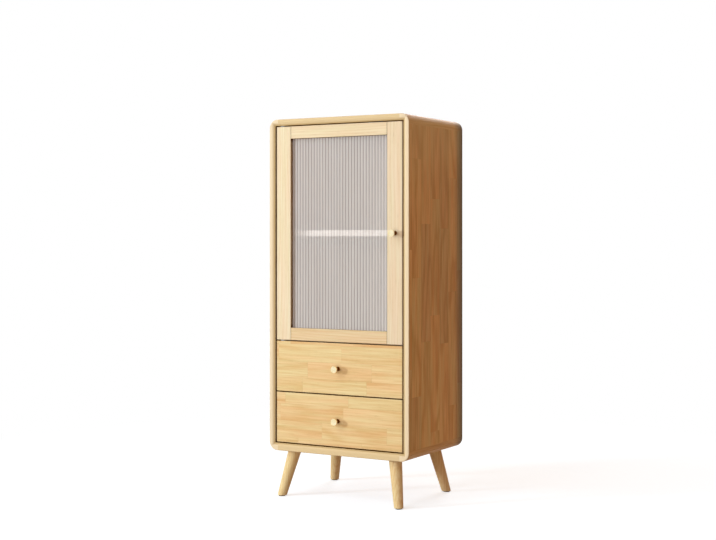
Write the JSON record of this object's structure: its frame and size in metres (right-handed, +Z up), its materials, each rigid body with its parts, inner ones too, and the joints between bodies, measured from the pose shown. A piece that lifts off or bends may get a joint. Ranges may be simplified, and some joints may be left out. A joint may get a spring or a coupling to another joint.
{
  "type": "display cabinet",
  "caption": "Tall narrow wooden display cabinet with rounded corners, a reeded-glass door above drawers, small brass knobs and splayed tapered legs.",
  "frame": {"origin": "on the floor, under the middle of the outline from the knobs to the back edge of the case", "axes": "+Z up, the door and drawers face -Y, +X to the right of someone facing the door"},
  "size_m": [0.5, 0.392, 1.19],
  "materials": {
    "case_wood": "satin clear lacquer",
    "door_wood": "satin clear lacquer",
    "drawer_wood": "satin clear lacquer",
    "inner_wood": "satin clear lacquer",
    "box_wood": "matt clear lacquer",
    "dowel_wood": "raw beech",
    "brass": "polished",
    "zinc_steel": "zinc plated",
    "reeded_glass": "reeded, clear to pale grey",
    "white_nylon": "matt",
    "brown_felt": "matt"
  },
  "bodies": {
    "case": {"top_panel": "case_wood", "bottom_panel": "case_wood", "left_side": "case_wood", "right_side": "case_wood", "corner_top_left": "case_wood", "corner_top_right": "case_wood", "corner_bottom_left": "case_wood", "corner_bottom_right": "case_wood", "back_panel": "inner_wood", "divider": "inner_wood", "shelf": "inner_wood", "shelf_pins": "zinc_steel", "case_dowels": "dowel_wood", "leg_front_left": "case_wood", "leg_front_right": "case_wood", "leg_back_left": "case_wood", "leg_back_right": "case_wood", "leg_bolts": "zinc_steel", "leg_inserts": "zinc_steel", "foot_glides": "brown_felt", "top_pivot_plate": "zinc_steel", "bottom_pivot_plate": "zinc_steel", "pivot_pins": "zinc_steel", "pivot_screws": "zinc_steel", "magnet_catch": "white_nylon", "catch_screws": "zinc_steel", "upper_outer_rails": "zinc_steel", "lower_outer_rails": "zinc_steel", "rail_screws": "zinc_steel"},
    "door": {"door_left_stile": "door_wood", "door_right_stile": "door_wood", "door_top_rail": "door_wood", "door_bottom_rail": "door_wood", "door_dowels": "dowel_wood", "glass_pane": "reeded_glass", "glazing_beads": "door_wood", "door_knob": "brass", "door_knob_screw": "zinc_steel", "pivot_bushes": "white_nylon", "strike_plate": "zinc_steel"},
    "upper_drawer": {"upper_drawer_front": "drawer_wood", "upper_drawer_left": "box_wood", "upper_drawer_right": "box_wood", "upper_drawer_back": "box_wood", "upper_drawer_bottom": "box_wood", "upper_drawer_knob": "brass", "upper_drawer_knob_screw": "zinc_steel", "upper_inner_rails": "zinc_steel", "upper_box_screws": "zinc_steel"},
    "lower_drawer": {"lower_drawer_front": "drawer_wood", "lower_drawer_left": "box_wood", "lower_drawer_right": "box_wood", "lower_drawer_back": "box_wood", "lower_drawer_bottom": "box_wood", "lower_drawer_knob": "brass", "lower_drawer_knob_screw": "zinc_steel", "lower_inner_rails": "zinc_steel", "lower_box_screws": "zinc_steel"},
    "upper_runner_middle": {"upper_middle_rails": "zinc_steel"},
    "lower_runner_middle": {"lower_middle_rails": "zinc_steel"}
  },
  "joints": [
    {"name": "door_swing", "type": "hinge", "parent": "case", "child": "door", "pos_m": [-0.207, -0.159, 0.494], "axis": [0, 0, -1], "range_deg": [0, 110]},
    {"name": "upper_drawer_slide", "type": "slide", "parent": "case", "child": "upper_drawer", "axis": [0, -1, 0], "range_m": [0, 0.26]},
    {"name": "lower_drawer_slide", "type": "slide", "parent": "case", "child": "lower_drawer", "axis": [0, -1, 0], "range_m": [0, 0.26]},
    {"name": "upper_runner_slide", "type": "slide", "parent": "case", "child": "upper_runner_middle", "axis": [0, -1, 0], "range_m": [0, 0.13]},
    {"name": "lower_runner_slide", "type": "slide", "parent": "case", "child": "lower_runner_middle", "axis": [0, -1, 0], "range_m": [0, 0.13]}
  ],
  "couplings": [
    {"joint": "upper_runner_slide", "follows": "upper_drawer_slide", "ratio": 0.5},
    {"joint": "lower_runner_slide", "follows": "lower_drawer_slide", "ratio": 0.5}
  ]
}
